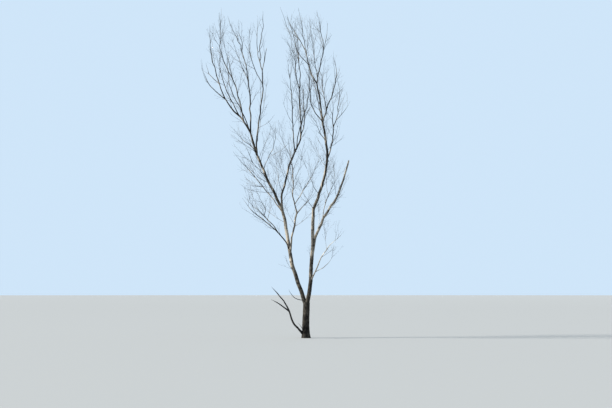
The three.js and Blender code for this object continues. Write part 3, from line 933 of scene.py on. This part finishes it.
def side_shoots(stems, radii, counts, first, last, angles):
    """Places and headings of side shoots on a batch of stems; counts says how many each stem gets."""
    stem = np.repeat(np.arange(len(stems)), counts)
    rank = np.arange(len(stem)) - np.repeat(np.cumsum(counts) - counts, counts)
    share = (rank + chance.uniform(*OFF_PLACE, len(stem))) / counts[stem]
    place = (first + (last - first) * share) * (stems.shape[1] - 1)
    low = np.minimum(place.astype(int), stems.shape[1] - 2)
    part = (place - low)[:, None]
    starts = stems[stem, low] * (1 - part) + stems[stem, low + 1] * part
    girth = radii[stem, low] * (1 - part[:, 0]) + radii[stem, low + 1] * part[:, 0]
    ahead = unit(stems[stem, low + 1] - stems[stem, low])
    across = unit(np.cross(ahead, np.eye(3)[np.abs(ahead).argmin(1)]))
    turn = (rank * GOLDEN + stem * STEM_TURN + chance.uniform(-OFF_TURN, OFF_TURN, len(stem)))[:, None]
    angle = chance.uniform(*angles, len(stem))[:, None]
    out = np.cos(turn) * across + np.sin(turn) * np.cross(ahead, across)
    return stem, share, starts, girth, np.cos(angle) * ahead + np.sin(angle) * out


def tapered(base, tip, joints):
    """Radii from base to tip, with a slight swelling at each bud."""
    share = np.linspace(0, 1, joints)
    radii = base[:, None] * (1 - share) + tip * share
    return radii * (1 + BUD_SWELL * chance.uniform(-1, 1, radii.shape))


print("golden angle", round(math.degrees(GOLDEN), 1), "degrees")

# %% [markdown]
# The crown has an outline, and a clear lane between its two halves, where shoots that lean into each other
# rub off. The outline is written down as the viewer sees it: how high the crown stands at each place
# across it, and how far it reaches to either side at each height. In depth, and farthest to the left, the
# solids set the bound. A shoot that would cross a bound is made shorter by chance, so that no straight edge
# of clipped tips shows, and one that would become a mere stub is left out.

# %% Outline and lane
CROWN_TOP = (
    (-3, 7.85), (-2.85, 8.75), (-2.6, 8.95), (-2.45, 9.3), (-2.25, 9.05), (-1.85, 9), (-1.6, 8.9),
    (-1.4, 9.2), (-1.2, 9.15), (-1.05, 8.8), (-0.72, 9.3), (-0.45, 9.2), (-0.25, 9.38), (-0.05, 9.15),
    (0.15, 9.15), (0.3, 9.35), (0.5, 9.1), (0.7, 8.85), (0.82, 8.4), (0.95, 7.75), (1.15, 7.1), (1.3, 6.65),
)
CROWN_LEFT = (
    (1, -0.8), (1.6, -1.15), (2.4, -1.5), (3.4, -1.75), (3.8, -1.9), (4.8, -1.95), (5.2, -2.15), (5.9, -2.2),
    (6.4, -2.35), (6.7, -2.6), (6.95, -2.85), (7.35, -3), (7.8, -3), (8.4, -2.88),
)
CROWN_RIGHT = (
    (1.5, 0.9), (2.3, 1.2), (3.8, 1.28), (5.1, 1.25), (5.5, 1.12), (6.1, 1.18), (6.65, 1.33), (6.95, 1.25),
    (7.5, 1.1), (7.8, 0.95), (8.4, 0.84), (9, 0.74),
)
LANE, LANE_ABOVE = (-1.03, -0.76), 6.1
DEPTH_ROOM, SIDE_ROOM = 0.03, 0.08
TRIES, SHORTER, SHORTEST = 14, (0.7, 0.95), 0.4
SLACK = 0.45


def as_seen(places):
    """Places across and up, carried along the viewer's line of sight to the plane of the trunk."""
    nearer = STANDS_OFF / (STANDS_OFF + places[..., 1])
    return places[..., 0] * nearer, EYE_HEIGHT + (places[..., 2] - EYE_HEIGHT) * nearer


def crosses(batch, slack):
    """Which lines of a batch come nearer to the crown's bounds than their slack, or leave them."""
    across, height = as_seen(batch)
    from_left = across[:, :1] < sum(LANE) / 2
    out = height > np.interp(across, *zip(*CROWN_TOP)) - slack
    out |= across < np.interp(height, *zip(*CROWN_LEFT)) + slack
    out |= across > np.interp(height, *zip(*CROWN_RIGHT)) - slack
    out |= (height > LANE_ABOVE) & np.where(from_left, across > LANE[0] - slack, across < LANE[1] + slack)
    out |= (batch[..., 1] < cad_low[1] - DEPTH_ROOM) | (batch[..., 1] > cad_high[1] + DEPTH_ROOM)
    out |= batch[..., 0] < cad_low[0] - SIDE_ROOM
    return out.any(1)


def kept_in(batch):
    """The batch with some lines made shorter, and which of them are long enough to keep."""
    foot, reach = batch[:, :1], batch - batch[:, :1]
    share = np.ones(len(batch))
    slack = SLACK * chance.random((len(batch), 1)) ** 2
    for _ in range(TRIES):
        over = crosses(foot + reach * share[:, None, None], slack)
        share[over] *= chance.uniform(*SHORTER, over.sum())
    return foot + reach * share[:, None, None], share > SHORTEST


print("the crown's top is bounded at", len(CROWN_TOP), "places")

# %% Stems that carry shoots
STEM_JOINTS = 61

stem_names = [name for name in lines if name != "trunk"]
steps = np.linspace(0, 1, STEM_JOINTS)
stems = []
for name in stem_names:
    rows = lines[name]
    stems.append(read_off(steps, np.linspace(0, 1, len(rows)), rows))
stems = np.array(stems)
stem_radii, stems = stems[:, :, 3], stems[:, :, :3]
stem_lengths = steps_along(stems).sum(1)
is_slender = np.array([name in slender for name in stem_names])
print(len(stems), "stems,", round(stem_lengths.sum()), "m")

# %% How many shoots each limb carries
SHOOT_EVERY = 0.13
ON_HEAVY = 0.5
FEW_BELOW = (
    (0, 0), (1, 0.05), (2.2, 0.2), (3.2, 0.55), (5.5, 0.7), (6.5, 1), (7.5, 0.9), (8.4, 0.6), (9.5, 0.3),
)
OWN_SHARES = {
    0.15: "left_outer_reach",
    0.25: "left_outer_side left_crown_side",
    0.3: "right_leader_side",
    0.35: "inner_left_bough",
    0.4: "right_shoot_long",
    0.45: "left_crown_limb right_side_outer",
    0.5: "left_cross_limb left_centre_side left_inner_limb inner_left_twin left_side_short left_side_lower"
    " right_leader right_side_bough right_side_far",
    0.6: "left_side_upper low_left_side left_bough centre_cross",
    0.7: "left_outer_leader left_centre_leader inner_left_side left_side_long right_outer_limb centre_bough"
    " centre_left_leader centre_right_leader right_inner_side right_inner_parallel",
    0.8: "middle_right_upper",
    1.2: "right_leader_top right_leader_bend right_outer_inner",
    1.3: "centre_top_left centre_leader",
    2.4: "left_upper_bough",
}

share_of = {name: share for share, names in OWN_SHARES.items() for name in names.split()}
often = np.interp(stems[:, :, 2].mean(1), *zip(*FEW_BELOW)) * np.where(is_slender, 1, ON_HEAVY)
often *= [share_of.get(name, 1) for name in stem_names]
counts = np.round(stem_lengths / SHOOT_EVERY * often).astype(int)
print(counts.sum(), "shoots to grow, most of them on", stem_names[counts.argmax()])

# %% Shoots on the limbs, and at their tips
TIP_THICK = 0.0020
SHOOT = {"joints": 12, "waver": 0.05}
SHOOT_THICK, SHOOT_LENGTHS, SHORTER_UP = 0.0104, (0.28, 1.05), 0.35
SHOOTS_FROM, SHOOT_ANGLES = (0.22, 0.97), (0.26, 0.66)
THINNER = 0.6

_, share, starts, girth, headings = side_shoots(stems, stem_radii, counts, *SHOOTS_FROM, SHOOT_ANGLES)
lengths = chance.uniform(*SHOOT_LENGTHS, len(starts)) * (1 - SHORTER_UP * share)
shoots = grow(starts, headings, lengths, lift=0.03, **SHOOT)
shoot_radii = tapered(np.minimum(SHOOT_THICK / 2, THINNER * girth), TIP_THICK / 2, SHOOT["joints"])

# Each slender limb whose tip stands above 2 m ends in two more shoots that start a little below its tip
FROM_TIP, LOW_DOWN = 6, 2.0
TIP_LENGTHS, TIP_SPREAD, TIP_RADIUS = (0.25, 0.6), 0.24, 0.0028
ends_in_shoots = is_slender & (stems[:, -1, 2] > LOW_DOWN)
ending = np.repeat(stems[ends_in_shoots], 2, axis=0)
tips = ending[:, -FROM_TIP]
ways = unit(ending[:, -1] - tips) + chance.normal(scale=TIP_SPREAD, size=tips.shape)
tip_shoots = grow(tips, ways, chance.uniform(*TIP_LENGTHS, len(tips)), lift=0.02, **SHOOT)
shoots, kept = kept_in(np.concatenate([shoots, tip_shoots]))
tip_radii = tapered(np.full(len(tips), TIP_RADIUS), TIP_THICK / 2, SHOOT["joints"])
shoot_radii = np.concatenate([shoot_radii, tip_radii])
shoots, shoot_radii = shoots[kept], shoot_radii[kept]
print(len(shoots), "shoots")

# %% Twigs on the shoots, and spurs on the twigs
SIDE_FROM, SIDE_ANGLES = (0.12, 0.97), (0.34, 0.76)
ONE_MORE, SHORTER_ON, SLIMMER_ON, FINER_TIP = (0.2, 1.2), 0.5, 0.8, 2.6
TWIG = {"every": 0.15, "lengths": (0.15, 0.50), "thick": 0.0058, "joints": 8, "lift": 0.03, "waver": 0.07}
SPUR = {"every": 0.24, "lengths": (0.04, 0.16), "thick": 0.0036, "joints": 4, "lift": 0.04, "waver": 0.10}


def next_level(parents, radii, every, lengths, thick, joints, lift, waver):
    """The side twigs of a batch of shoots or twigs."""
    run = steps_along(parents).sum(1)
    counts = (run / every + chance.uniform(*ONE_MORE, len(run))).astype(int)
    stem, share, starts, girth, headings = side_shoots(parents, radii, counts, *SIDE_FROM, SIDE_ANGLES)
    size = chance.uniform(*lengths, len(starts)) * (1 - SHORTER_ON * share)
    batch, kept = kept_in(grow(starts, headings, size, joints, lift, waver))
    radii = tapered(np.minimum(thick / 2, SLIMMER_ON * girth[kept]), TIP_THICK / FINER_TIP, joints)
    return stem[kept], batch[kept], radii


twig_on, twigs, twig_radii = next_level(shoots, shoot_radii, **TWIG)
spur_on, spurs, spur_radii = next_level(twigs, twig_radii, **SPUR)
print(len(twigs), "twigs,", len(spurs), "spurs")

# %% Join them, dealt out by spray
TONE_SHARES = (0.45, 0.4, 0.15)
HALVES_MEET = -0.9
SHOOT_AROUND, TWIG_AROUND, SPUR_AROUND = 6, 5, 4

spray_tone = chance.choice(len(TONE_SHARES), len(shoots), p=TONE_SHARES)
spray_half = (shoots[:, 0, 0] > HALVES_MEET).astype(int)
levels = (
    (shoots, shoot_radii, SHOOT_AROUND, np.arange(len(shoots))),
    (twigs, twig_radii, TWIG_AROUND, twig_on),
    (spurs, spur_radii, SPUR_AROUND, twig_on[spur_on]),
)
twig_pieces = []
for tone in range(len(TONE_SHARES)):
    for half, side in enumerate(("left", "right")):
        batches = []
        for batch, radii, sides, spray in levels:
            chosen = (spray_tone[spray] == tone) & (spray_half[spray] == half)
            batches.append((ring_points(batch[chosen], radii[chosen], sides)[0], int(chosen.sum())))
        piece = new_piece(f"twigs_{side}_{tone + 1}", *joined(batches))
        twig_pieces.append((piece, tone))
        print(piece.name, triangle_count(piece), "triangles")

# %% [markdown]
# ## Finishes
#
# Bark has no one colour. Broad blotches run from dark to pale grey-brown, with specks where the wood shows
# through and fine streaks that run with it. Furrows get painted shade. The tone kept at each point makes the
# foot nearly black and paints shade over the crown. Pale wood shows where the bark has gone, and stains lie
# over all of it. Each of these is one step below, laid over the last.

# %% Node helpers
def new_finish(name):
    """An empty material, and the function that adds a node to it and gives the one output that is used."""
    material = bpy.data.materials.new(name)
    material.use_nodes = True
    tree = material.node_tree
    tree.nodes.clear()

    def add(kind, output=None, inputs=(), **settings):
        node = tree.nodes.new("ShaderNode" + kind)
        for key, value in settings.items():
            setattr(node, key, value)
        for key, value in dict(inputs).items():
            if isinstance(value, bpy.types.NodeSocket):
                tree.links.new(value, node.inputs[key])
            else:
                node.inputs[key].default_value = value
        return output and node.outputs[output]

    return material, add


def ramped(add, value, low, high, to_low, to_high):
    """A value spread from one range to another."""
    limits = {"Value": value, "From Min": low, "From Max": high, "To Min": to_low, "To Max": to_high}
    return add("MapRange", "Result", limits)


def scaled(add, colour, amount):
    return add("VectorMath", "Vector", {0: colour, "Scale": amount}, operation="SCALE")


def mixed(add, amount, first, second):
    return add("Mix", "Result", {"Factor": amount, "A": first, "B": second}, data_type="RGBA")


def noisy(add, where, scale, detail, roughness=0.5):
    """A noise over the surface, of so many waves to a metre."""
    inputs = {"Vector": where, "Scale": scale, "Detail": detail, "Roughness": roughness}
    return add("TexNoise", "Fac", inputs)


SHEEN = 0.15


def surface(add, colour, rough, relief, strength, distance):
    """The surface itself, with a relief too fine to model; bark has hardly any sheen."""
    bump = add("Bump", "Normal", {"Strength": strength, "Distance": distance, "Height": relief})
    inputs = {"Base Color": colour, "Roughness": rough, "Specular IOR Level": SHEEN, "Normal": bump}
    add("OutputMaterial", inputs={"Surface": add("BsdfPrincipled", "BSDF", inputs)})


print("helpers for colours ready")

# %% Bark and the wood below it
LONG_STREAKS = (1, 1, 0.12)


def bark_finish(name, dark, light, wood, stain_shade):
    material, add = new_finish(name)
    place = add("TexCoord", "Object")
    grain = add("Attribute", "Vector", attribute_name="grain")
    furrow, bare, tone = (add("Attribute", "Fac", attribute_name=kept) for kept in ("furrow", "bare", "tone"))
    drawn = add("VectorMath", "Vector", {0: grain, 1: LONG_STREAKS}, operation="MULTIPLY")
    streaks = noisy(add, drawn, 150, 6, 0.6)
    blotches, stains, specks = noisy(add, place, 5, 5), noisy(add, place, 13, 4), noisy(add, place, 55, 3)

    fine = ramped(add, streaks, 0.3, 0.7, 0.62, 1.35)
    colour = mixed(add, ramped(add, blotches, 0.38, 0.64, 0, 1), (*dark, 1), (*light, 1))
    colour = mixed(add, ramped(add, specks, 0.6, 0.72, 0, 0.45), colour, (*wood, 1))
    colour = scaled(add, colour, fine)
    # Painted shade in the furrows and cracks.
    colour = scaled(add, colour, ramped(add, furrow, 0, 1, 1, 0.32))
    # The tone: darker towards the foot, and painted shade high in the crown.
    colour = scaled(add, colour, tone)
    colour = mixed(add, bare, colour, scaled(add, wood, fine))
    colour = scaled(add, colour, ramped(add, stains, 0.54, 0.63, 1, stain_shade))
    surface(add, colour, ramped(add, streaks, 0.3, 0.7, 0.95, 0.75), streaks, 0.7, 0.0016)
    return material


BARE_WOOD = (0.34, 0.295, 0.236)
bough_bark = bark_finish("bough bark", (0.075, 0.066, 0.055), (0.35, 0.308, 0.25), BARE_WOOD, 0.26)
limb_finishes = (
    bark_finish("foot bark", (0.10, 0.088, 0.082), (0.20, 0.175, 0.16), BARE_WOOD, 0.5),
    bark_finish("bleached wood", (0.40, 0.365, 0.305), (0.60, 0.555, 0.485), (0.62, 0.58, 0.51), 0.8),
    bark_finish("limb bark", (0.085, 0.075, 0.063), (0.25, 0.22, 0.18), BARE_WOOD, 0.4),
)
print("four finishes of bark and wood")

# %% [markdown]
# The twigs are too thin to show a pattern from any distance. What does show is that one spray is darker than
# the next, because some have lost their bark. So they get three plain tones, dealt out by spray, and only a
# fine mottling that breaks the tone up close by.

# %% Twig tones
def twig_finish(name, dark, light):
    material, add = new_finish(name)
    place = add("TexCoord", "Object")
    mottling = noisy(add, place, 90, 2)
    colour = mixed(add, ramped(add, mottling, 0.4, 0.6, 0, 1), (*dark, 1), (*light, 1))
    surface(add, colour, 0.85, mottling, 0.5, 0.0006)
    return material


twig_tones = (
    twig_finish("dark twig", (0.030, 0.026, 0.023), (0.045, 0.038, 0.034)),
    twig_finish("grey twig", (0.055, 0.050, 0.046), (0.080, 0.072, 0.066)),
    twig_finish("pale twig", (0.12, 0.106, 0.088), (0.17, 0.15, 0.127)),
)
print("three tones of twig")

# %% [markdown]
# ## Floor and light
#
# A wide pale floor and a pale backdrop all round, as in a studio with its walls far off. One large soft lamp
# stands to the left, a little towards the viewer, so each bough has a lit side and a darker one and reads as
# round.

# %% Floor, backdrop and lamp
FLOOR_RADIUS, FLOOR_BELOW = 400, 0.002
LIGHT_GOES = Vector((0.93, 0.1, -0.48))

floor_mesh = bpy.data.meshes.new("floor")
shaped = bmesh.new()
bmesh.ops.create_circle(shaped, cap_ends=True, segments=96, radius=FLOOR_RADIUS)
shaped.to_mesh(floor_mesh)
shaped.free()
floor = placed("floor", floor_mesh)
floor.location = (0, 0, -FLOOR_BELOW)
floor_finish, add = new_finish("floor")
dust = add("TexNoise", "Fac", {"Scale": 3, "Detail": 4})
tone = mixed(add, dust, (0.31, 0.31, 0.306, 1), (0.345, 0.345, 0.34, 1))
shader = add("BsdfPrincipled", "BSDF", {"Base Color": tone, "Roughness": 1, "Specular IOR Level": 0.05})
add("OutputMaterial", inputs={"Surface": shader})
floor_mesh.materials.append(floor_finish)

world = bpy.data.worlds.new("pale backdrop")
scene.world = world
world.use_nodes = True
background = world.node_tree.nodes["Background"]
background.inputs["Color"].default_value = (0.66, 0.83, 1, 1)
background.inputs["Strength"].default_value = 0.95

lamp_data = bpy.data.lights.new("lamp", "SUN")
lamp_data.energy = 8.5
lamp_data.angle = math.radians(10)
lamp_data.color = (1, 0.96, 0.88)
lamp = placed("lamp", lamp_data)
lamp.rotation_euler = LIGHT_GOES.to_track_quat("-Z", "Y").to_euler()
scene.view_settings.view_transform = "Standard"
print("lamp from the left, backdrop and floor in place")

# %% [markdown]
# ## Handing over
#
# Every piece rides on the one body that a rooted tree has. The new skins stand for the solids that they were
# drawn from, and the twigs stand for nothing but themselves.

# %% Ride, replace and finish
skin.data.materials.append(bough_bark)
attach(skin, "root")
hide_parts("trunk", *heavy)
for (piece, nodes, slot), finish in zip(limb_pieces, limb_finishes):
    piece.data.materials.append(finish)
    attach(piece, "root")
    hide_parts(*nodes)
for piece, tone in twig_pieces:
    piece.data.materials.append(twig_tones[tone])
    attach(piece, "root")
